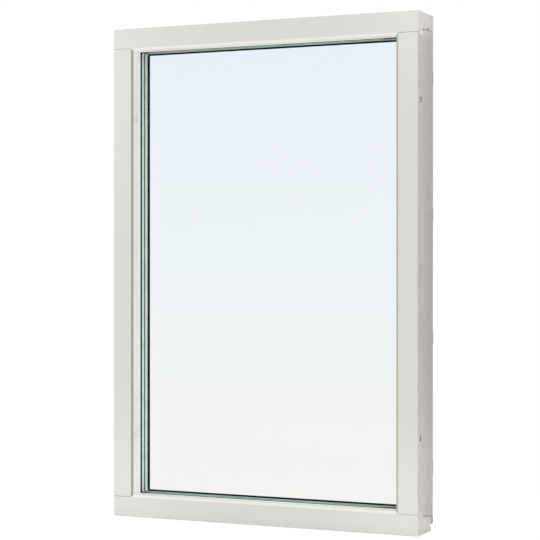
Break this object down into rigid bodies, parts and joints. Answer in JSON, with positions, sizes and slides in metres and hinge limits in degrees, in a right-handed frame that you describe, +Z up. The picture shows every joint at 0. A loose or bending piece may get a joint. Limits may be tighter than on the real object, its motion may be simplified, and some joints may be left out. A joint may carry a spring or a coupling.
{
  "type": "fixed picture window",
  "caption": "Fixed picture window: painted timber frame with a sealed triple-glazed unit held between rubber gaskets, clad in aluminium on the weather side",
  "frame": {"origin": "middle of the flat underside of the sill, where the window stands", "axes": "+X along the sill to the right seen from the room, +Y from the room to the weather side, +Z up"},
  "size_m": [0.78, 0.118, 1.18],
  "materials": {
    "painted_timber": "off-white satin paint on pine",
    "glass": "clear float glass",
    "spacer": "light grey warm-edge spacer",
    "sealant": "black edge sealant",
    "gasket": "black rubber",
    "cladding": "white powder-coated aluminium",
    "clip": "dark grey moulded plastic",
    "cover_cap": "off-white moulded plastic",
    "setting_block": "black hard plastic"
  },
  "bodies": {
    "root": {"sill": "painted_timber", "head": "painted_timber", "left_jamb": "painted_timber", "right_jamb": "painted_timber", "left_hole_caps": "cover_cap", "right_hole_caps": "cover_cap", "inner_pane": "glass", "middle_pane": "glass", "outer_pane": "glass", "setting_blocks": "setting_block", "sill_cladding": "cladding", "sill_cladding_ends": "clip", "head_cladding": "cladding", "left_cladding": "cladding", "right_cladding": "cladding", "inner_spacer_bottom": "spacer", "outer_spacer_bottom": "spacer", "edge_seal_bottom": "sealant", "room_gasket_bottom": "gasket", "weather_gasket_bottom": "gasket", "cladding_clips_bottom": "clip", "inner_spacer_top": "spacer", "outer_spacer_top": "spacer", "edge_seal_top": "sealant", "room_gasket_top": "gasket", "weather_gasket_top": "gasket", "cladding_clips_top": "clip", "inner_spacer_left": "spacer", "outer_spacer_left": "spacer", "edge_seal_left": "sealant", "room_gasket_left": "gasket", "weather_gasket_left": "gasket", "cladding_clips_left": "clip", "inner_spacer_right": "spacer", "outer_spacer_right": "spacer", "edge_seal_right": "sealant", "room_gasket_right": "gasket", "weather_gasket_right": "gasket", "cladding_clips_right": "clip"}
  },
  "joints": []
}
